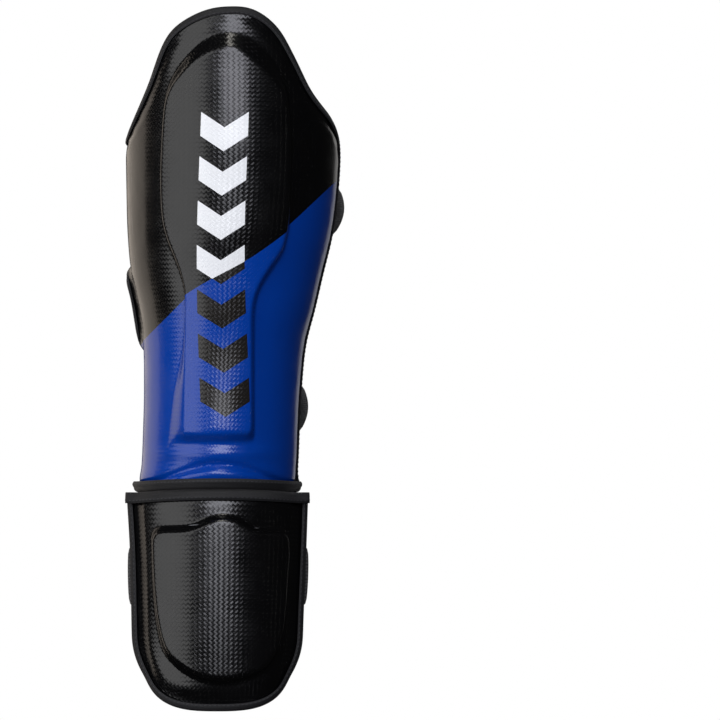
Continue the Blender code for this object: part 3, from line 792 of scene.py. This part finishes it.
# the raised shield's foot and crown, x and height in mm
shieldLook = {
    "foot": ((-52, 117.5), (-52, 124), (-50, 129), (-45, 131.5), (-36, 132), (-28, 132.4), (-20, 134),
             (-11, 138), (-1.4, 140), (8, 138.2), (16, 134), (24, 131), (32, 130), (40, 129.6), (44.6, 126.5),
             (46, 120), (45.8, 108), (44.6, 94), (43.4, 74), (40.8, 52), (36.5, 37), (28, 26.5), (14, 20),
             (-2, 17.6), (-18, 20.5), (-33, 29), (-43.5, 41), (-48.6, 62), (-51, 88)),
    "crown": ((-47.6, 114), (-47.4, 121), (-45.5, 124.6), (-41, 126), (-32, 126.4), (-25, 127), (-18, 129.4),
              (-10, 133.4), (-1.4, 135), (7, 133.8), (14, 130), (21, 126.6), (29, 125.4), (36.5, 125),
              (40, 122.6), (41.3, 117), (41, 106), (40.2, 92), (39, 73), (36.4, 54), (32, 41.5), (25, 32.5),
              (13, 26.4), (-2, 23.6), (-16, 26.2), (-29, 34), (-38.6, 45), (-43.6, 63), (-46.4, 88)),
}


def instepAt(angle, height):
    shape, turn = instepShape, instepShape["turn"]
    middle, half, front, depth = [smoothRead(shape["sections"], height, column) for column in (1, 2, 3, 4)]
    across, deep = half / math.sin(turn), depth / (1 - math.cos(turn))
    beyond = np.clip((np.abs(angle) - shape["flareFrom"] * turn) / (shape["flareOver"] * turn), 0, None)
    flare = shape["flare"] * beyond ** 2
    steeper = 2 * shape["flare"] * beyond / (shape["flareOver"] * turn)
    point = np.stack([middle + across * np.sin(angle) + np.sign(angle) * flare,
                      front + deep * (1 - np.cos(angle)), height], axis=-1)
    out = np.stack([deep * np.sin(angle), -(across * np.cos(angle) + steeper), np.zeros_like(height)],
                   axis=-1)
    return point, out / np.linalg.norm(out, axis=-1, keepdims=True)


def toeAt(share):
    return (5 + 48 * (1 - (1 - np.clip(np.abs(share), 0, 1) ** 2.9) ** (1 / 2.15))) * mm


def instepSheet(columns, rows):
    shape = instepShape
    share = np.sin(np.linspace(-1, 1, columns) * math.pi / 2 * 0.9) / math.sin(math.pi / 2 * 0.9)
    toe = toeAt(share) - shape["under"]
    high = shape["high"] + 2.6 * mm
    part = np.linspace(0, 1, rows)[:, None]
    height = (toe[None] + (high - toe[None]) * part).ravel()
    angle = np.tile(share * (shape["turn"] + 0.047), rows)
    point, out = instepAt(angle, height)
    return {"size": (columns, rows), "angle": angle, "height": height, "out": out,
            "point": lifted(point, shape["hemLift"], high, 26 * mm),
            "flat": np.stack([angle * 62 * mm, height], axis=1)}


def instepRimLine():
    turn, high = instepShape["turn"], instepShape["high"] + 1.5 * mm
    share = np.sin(np.linspace(1, -1, 1201) * math.pi / 2)
    down = np.linspace(high, 0.0531, 120)
    angle = np.concatenate([np.full(120, turn), share[1:-1] * turn, np.full(120, -turn)])
    height = np.concatenate([down, toeAt(share[1:-1]), down[::-1]])
    return rimLine(angle, height, instepAt, 6)


def instepRelief(sheet):
    shape, point = instepShape, sheet["point"]
    away = outlineDistance(point, sheet["rim"])
    dip = 1.0 - ease(away / shape["dipWidth"])
    hem = np.exp(-((sheet["height"] - shape["high"] - 2.6 * mm) / (4.5 * mm)) ** 2)
    raised = raisedBy(shieldLook, point[:, 0] / mm, point[:, 2] / mm)
    relief = raised * shape["raise"] - shape["dip"] * dip - shape["hem"] * hem
    return np.maximum(softened(sheet, relief), -shape["deepest"]), away


def instepPad():
    shape = instepShape
    sheet = instepSheet(150, 170)
    rimPoint, rimOut = instepRimLine()
    sheet["rim"] = rimPoint + beyondEdge(rimPoint, rimOut) * shape["under"]
    relief, away = instepRelief(sheet)
    cover = bendSlab("instepCover", sheet, relief, relief - shape["skin"], instepLeather, 50)
    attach(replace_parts(cover, "instep_cover"), "instep")
    padLayers("instep", shape, sheet, relief, away, shape["high"] - sheet["height"])


def instepAngleAt(x, z):
    sections = instepShape["sections"]
    across = smoothRead(sections, z, 2) / math.sin(instepShape["turn"])
    return np.arcsin(np.clip((x - smoothRead(sections, z, 1)) / across, -0.98, 0.98))


instepPad()
impactBlock("instep", blockSheet(shieldLook, instepAt, instepAngleAt, (18.8, 139), (36, 60)), instepShape)
instepRim = instepRimLine()
instepTape = dict(tapeLook, top=-2.3 * mm, turn=4.0 * mm)
tapedEdge("instep_binding", "instep", instepRim, beyondEdge(*instepRim), instepTape, 2)
instepHem = hemLine(instepAt, np.radians(np.linspace(-63.4, 63.4, 140)), instepShape, instepShape["high"])
tapedEdge("instep_hem_binding", "instep", instepHem, upward, hemLook, 3)
print("instep section ready")


# straps: bands of webbing or elastic that follow a line at each height across their width
def curve(first, second, third, fourth, count):
    part = np.linspace(0, 1, count)[:, None]
    return ((1 - part) ** 3 * first + 3 * (1 - part) ** 2 * part * second
            + 3 * (1 - part) * part ** 2 * third + part ** 3 * fourth)


def bandSheet(lines, count):
    rows = []
    for points, outs in lines:
        line = np.concatenate([points, outs], axis=1)
        lengths = np.linalg.norm(np.diff(points, axis=0), axis=1).sum()
        rows.append(resample(line, lengths / (count - 1)))
    grid = np.stack(rows)
    middle = grid[len(rows) // 2, :, :3]
    along = np.concatenate([[0], np.cumsum(np.linalg.norm(np.diff(middle, axis=0), axis=1))])
    width = np.linalg.norm(grid[-1, 0, :3] - grid[0, 0, :3])
    flat = np.stack(np.broadcast_arrays(along[None], np.linspace(0, width, len(rows))[:, None]), axis=-1)
    out = grid[..., 3:].reshape(-1, 3)
    return {"size": (count, len(rows)), "point": grid[..., :3].reshape(-1, 3),
            "out": out / np.linalg.norm(out, axis=1, keepdims=True), "flat": flat.reshape(-1, 2)}


# a band is thinner at its two selvedges
def bandPiece(name, sheet, thick, material):
    columns, rows = sheet["size"]
    across = np.abs(np.linspace(-1, 1, rows))
    half = np.repeat(thick / 2 * np.where(across > 0.97, 0.35, 1.0), columns)
    return bendSlab(name, sheet, half, -half, material, 60)


def planOuts(points):
    along = np.gradient(points, axis=0)
    outs = np.stack([along[:, 1], -along[:, 0], np.zeros(len(points))], axis=1)
    return outs / np.linalg.norm(outs, axis=1, keepdims=True)


calfStraps = {
    "upper": {"low": 0.340, "high": 0.372, "back": 0.0640, "bulge": 0.0195, "right": 0.040, "left": -0.012,
              "hinge": (0.07353, 0.0029)},
    "lower": {"low": 0.199, "high": 0.231, "back": 0.0530, "bulge": 0.0186, "right": 0.026, "left": -0.014,
              "hinge": (0.04835, 0.00432)},
}

# root and tail are where a strap leaves the inside of the guard and where it lands, in degrees
strapLook = {"thick": 1.7 * mm, "crown": 6.0 * mm, "rows": 13, "root": 66, "tail": -112,
             "inside": 6.2 * mm, "reach": 10.2 * mm, "pull": 5.8 * mm}


def wingLift(angle, height):
    radius = smoothRead(shinShape["sections"], height, 2)
    away = (angle - math.radians(shinShape["wingEdge"]) + 2.6 * mm / radius) * radius
    return np.maximum(-shinShape["dip"] * (1 - ease(away / shinShape["dipWidth"])), -0.5 * mm)


def calfLine(sizes, height, crown):
    root = np.radians(np.linspace(strapLook["root"], shinShape["rightEdge"], 14))
    level = np.full(14, height)
    point, out = shinAt(root, level)
    radius = smoothRead(shinShape["sections"], level, 2)
    fromEdge = (root[-1] - root) * radius
    thick = 5 * mm + 9 * mm * ease((fromEdge - 9 * mm) / (20 * mm))
    inner = point - out * (thick + 1.2 * mm)[:, None]
    edgeOut = out[-1]
    back = np.array([-edgeOut[1], edgeOut[0], 0.0])
    hinge = point[-1] - edgeOut * strapLook["inside"] + back * strapLook["reach"]
    start = hinge + back * 1.2 * mm
    bulge = sizes["bulge"]
    flatRight = np.array([sizes["right"], sizes["back"], height])
    flatLeft = np.array([sizes["left"], sizes["back"], height])
    wing = np.radians(np.linspace(shinShape["wingEdge"], strapLook["tail"], 14))
    tail, tailOut = shinAt(wing, level)
    tail = tail + tailOut * (wingLift(wing, level) + 3.2 * mm)[:, None]
    leave = np.array([tailOut[0][1], -tailOut[0][0], 0.0])
    roundRight = curve(start, start + np.array([bulge, bulge, 0]),
                       np.array([start[0] + 0.6 * bulge, sizes["back"], height]), flatRight, 26)
    roundLeft = curve(flatLeft, flatLeft - np.array([bulge, 0, 0]), tail[0] + leave * bulge * 0.9,
                      tail[0], 22)
    free = np.concatenate([roundRight, roundLeft])
    points = np.concatenate([inner, hinge[None], free[:-1], tail])
    outs = np.concatenate([out, edgeOut[None], planOuts(free)[:-1], tailOut])
    swell = np.sin(np.linspace(0, 1, len(free)) * math.pi) ** 0.35
    share = np.concatenate([np.zeros(15), swell, np.zeros(13)])
    return points + outs * (crown * share)[:, None], outs


def calfStrap(prefix, sizes):
    look = strapLook
    across = np.linspace(-1, 1, look["rows"])
    middle, half = (sizes["low"] + sizes["high"]) / 2, (sizes["high"] - sizes["low"]) / 2
    sheet = bandSheet([calfLine(sizes, middle + half * share, look["crown"] * (1 - share ** 2) - look["pull"])
                       for share in across], 150)
    body = prefix + "_strap"
    strap = bandPiece(prefix + "Strap", sheet, look["thick"], webbingFabric)
    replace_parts(strap, body, body + "_anchor")
    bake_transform(strap)
    wing = np.radians(np.linspace(shinShape["wingEdge"], look["tail"], 16))
    for name, low, material, rider in (("_loop_patch", 0.15 * mm, loopFabric, "shin"),
                                       ("_hook_tape", 1.2 * mm, hookFabric, body)):
        rows = [shinAt(wing, np.full(16, middle + half * share)) for share in np.linspace(-1, 1, 7)]
        patch = bandSheet(rows, 16)
        base = wingLift(np.tile(wing, 7), patch["point"][:, 2])
        made = bendSlab(prefix + name.title().replace("_", ""), patch, base + low + 0.95 * mm, base + low,
                        material, 50)
        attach(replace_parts(made, prefix + name), rider)
    grid = sheet["point"].reshape(look["rows"], -1, 3)
    face = sheet["out"].reshape(look["rows"], -1, 3)
    top = grid + face * (look["thick"] / 2 + 0.1 * mm)
    end = int(len(grid[0]) * 0.90)
    box = [(top[1, end:-2], face[1, end:-2]), (top[-2, end:-2], face[-2, end:-2]),
           (top[1:-1, end], face[1:-1, end]), (top[1:-1, -3], face[1:-1, -3])]
    stitchPiece(prefix + "StrapStitches", box, stitchLook["strapPitch"], body, stitchLook["thin"])


for prefix, sizes in calfStraps.items():
    calfStrap(prefix, sizes)
print("calf straps ready")


footStrapLook = {"low": 0.075, "high": 0.115, "back": 0.0200, "right": 0.022, "left": -0.032,
                 "thick": 1.7 * mm, "from": 50, "curl": 18 * mm, "rows": 11, "crown": 1.6 * mm}


def instepThick(angle):
    away = (instepShape["turn"] - np.abs(angle)) * 60 * mm
    return 5 * mm + 6 * mm * ease((away - 9 * mm) / (20 * mm))


def footLine(height, crown):
    look = footStrapLook
    start = np.radians(np.linspace(look["from"], 60, 9))
    level = np.full(9, height)
    point, out = instepAt(start, level)
    inset = (instepThick(start) + 1.2 * mm)[:, None]
    right = point - out * inset
    pointLeft, outLeft = instepAt(-start[::-1], level)
    left = pointLeft - outLeft * inset[::-1]
    rightBack = np.array([-out[-1][1], out[-1][0], 0])
    leftBack = np.array([outLeft[0][1], -outLeft[0][0], 0])
    leave, arrive = right[-1] + rightBack * 5.2 * mm, left[0] + leftBack * 5.2 * mm
    flatRight = np.array([look["right"], look["back"], height])
    flatLeft = np.array([look["left"], look["back"], height])
    reach = np.array([look["curl"] * 1.3, 0, 0])
    free = np.concatenate([
        curve(leave, leave + rightBack * look["curl"] * 0.6, flatRight + reach, flatRight, 22),
        curve(flatLeft, flatLeft - reach, arrive + leftBack * look["curl"] * 0.6, arrive, 22)])
    points = np.concatenate([right, free, left])
    outs = np.concatenate([out, planOuts(free), outLeft])
    swell = np.sin(np.linspace(0, 1, len(free)) * math.pi) ** 0.4
    share = np.concatenate([np.zeros(9), swell, np.zeros(9)])
    return points + outs * (crown * share)[:, None], outs


def footStrap():
    look = footStrapLook
    across = np.linspace(-1, 1, look["rows"])
    middle, half = (look["low"] + look["high"]) / 2, (look["high"] - look["low"]) / 2
    lines = [footLine(middle + half * share, look["crown"] * (1 - abs(share) ** 2.4)) for share in across]
    strap = bandPiece("footStrap", bandSheet(lines, 130), look["thick"], elasticFabric)
    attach(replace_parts(strap, "foot_strap"), "instep")
    for name, turn in (("right", 1), ("left", -1)):
        angles = np.sort(np.radians(np.linspace(look["from"] - 0.6, 60, 12)) * turn)
        rows = [instepAt(angles, np.full(12, middle + (half + 0.6 * mm) * share))
                for share in np.linspace(-1, 1, 9)]
        patch = bandSheet(rows, 12)
        depth = instepThick(np.tile(angles, 9)) + 2.3 * mm
        made = bendSlab("footStrapPatch" + name.title(), patch, -depth, -depth - 0.9 * mm, instepLeather, 50)
        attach(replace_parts(made, "foot_strap_patch_" + name), "instep")
        grid = patch["point"].reshape(9, -1, 3)
        face = patch["out"].reshape(9, -1, 3)
        back = grid - face * (depth.reshape(9, -1, 1) + 1.0 * mm)
        box = [(back[1], -face[1]), (back[-2], -face[-2]), (back[1:-1, 1], -face[1:-1, 1]),
               (back[1:-1, -2], -face[1:-1, -2])]
        stitchPiece("footPatchStitches" + name.title(), box, stitchLook["strapPitch"], "instep",
                    stitchLook["thin"])


footStrap()


# the flexible strip inside the ankle, sewn to both linings: height, and depth in mm under the cover
hingeDepths = ((0.1375, 6.9), (0.1498, 6.9), (0.156, 6.5), (0.1602, 6.0), (0.168, 6.2), (0.175, 7.3))


def hingeStrip():
    heights = np.linspace(0.1375, 0.175, 26)
    x = np.linspace(-29, 22, 44) * mm
    rows = []
    for height, depth in zip(heights, smoothRead(hingeDepths, heights)):
        level = np.full(44, max(height, 0.155))
        point, out = shinAt(shinAngleAt(x, level), level)
        point[:, 2] = height
        rows.append((point - out * (depth * mm + 0.5 * mm), out))
    strip = bandPiece("ankleHingeStrip", bandSheet(rows, 44), 0.9 * mm, elasticFabric)
    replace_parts(strip, "ankle_hinge_strip")
    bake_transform(strip)


hingeStrip()
print("foot strap and ankle strip ready")


# room, light and camera
lightLook = {  # azimuth in degrees, distance, height, width and height of the panel, watts, colour
    "softboxLeft": (-50, 1.5, 0.35, (1.35, 2.0), 14.5, "#ffffff"),
    "softboxCamera": (1, 2.9, 1.15, (1.45, 2.4), 62, "#f4f5ff"),
    "fillBehind": (-135, 1.5, 0.35, (1.5, 1.8), 7, "#fff1e2"),
    "backLight": (172, 1.7, 0.5, (1.2, 1.6), 9, "#ffffff"),
    "rimRight": (150, 1.5, 0.35, (0.45, 1.6), 1.3, "#f4f2f0"),
    "overhead": (2, 0.75, 1.85, (0.32, 0.8), 5.0, "#fffdf4"),
}
cameraLook = {"place": (0.0964, -12.0, 0.2496), "distance": 11.97, "width": 0.5143, "sensor": 36}
floorLook = {"radius": 0.46, "height": -0.047, "glow": 0.55}


def areaLight(name, azimuth, distance, height, size, power, colour):
    data = bpy.data.lights.new(name, "AREA")
    data.shape = "RECTANGLE"
    data.size, data.size_y = size
    data.energy = power
    data.color = linearColour(colour)[:3]
    light = bpy.data.objects.new(name, data)
    bpy.context.scene.collection.objects.link(light)
    turn = math.radians(azimuth)
    light.location = (distance * math.sin(turn), -distance * math.cos(turn), height)
    light.rotation_euler = (Vector((0, 0, 0.25)) - light.location).to_track_quat("-Z", "Y").to_euler()
    light.visible_camera = False
    light.visible_glossy = name != "backLight"  # it would streak the sides


# the camera sees plain white behind the object, which itself is lit almost only by the panels
def whiteRoom(scene):
    scene.world = bpy.data.worlds.new("studio")
    scene.world.use_nodes = True
    tree = scene.world.node_tree
    plain = tree.nodes["Background"]
    plain.inputs["Color"].default_value = (1, 1, 1, 1)
    plain.inputs["Strength"].default_value = 0.015
    bright = addNode(tree, "Background", {"Color": (1, 1, 1, 1), "Strength": 1.0})
    seen = addNode(tree, "LightPath").outputs["Is Camera Ray"]
    mix = addNode(tree, "MixShader", {0: seen, 1: plain, 2: bright})
    tree.links.new(mix.outputs[0], tree.nodes["World Output"].inputs["Surface"])


# matt white paper, lifted by a glow so that it stays plain and pale
def paperFloor():
    bm = bmesh.new()
    bmesh.ops.create_circle(bm, cap_ends=True, segments=96, radius=floorLook["radius"])
    bmesh.ops.translate(bm, verts=bm.verts[:], vec=(0, 0, floorLook["height"]))
    paper = startMaterial("paperFloor", {
        "Base Color": linearColour("#f4f4f4"), "Roughness": 0.9, "Emission Color": (1, 1, 1, 1),
        "Emission Strength": floorLook["glow"]})[0]
    floor = finishPiece("floor", bm, paper)
    floor.visible_glossy = False
    floor.visible_diffuse = False


def farCamera(scene):
    look = cameraLook
    data = bpy.data.cameras.new("camera")
    data.sensor_width = look["sensor"]
    data.clip_end = 60
    data.lens = look["sensor"] * look["distance"] / look["width"]
    camera = bpy.data.objects.new("camera", data)
    scene.collection.objects.link(camera)
    camera.location = look["place"]
    camera.rotation_euler = (math.pi / 2, 0, 0)
    scene.camera = camera


bpy.context.scene.view_settings.view_transform = "Standard"
whiteRoom(bpy.context.scene)
paperFloor()
for lightName, settings in lightLook.items():
    areaLight(lightName, *settings)
farCamera(bpy.context.scene)
print("studio ready")
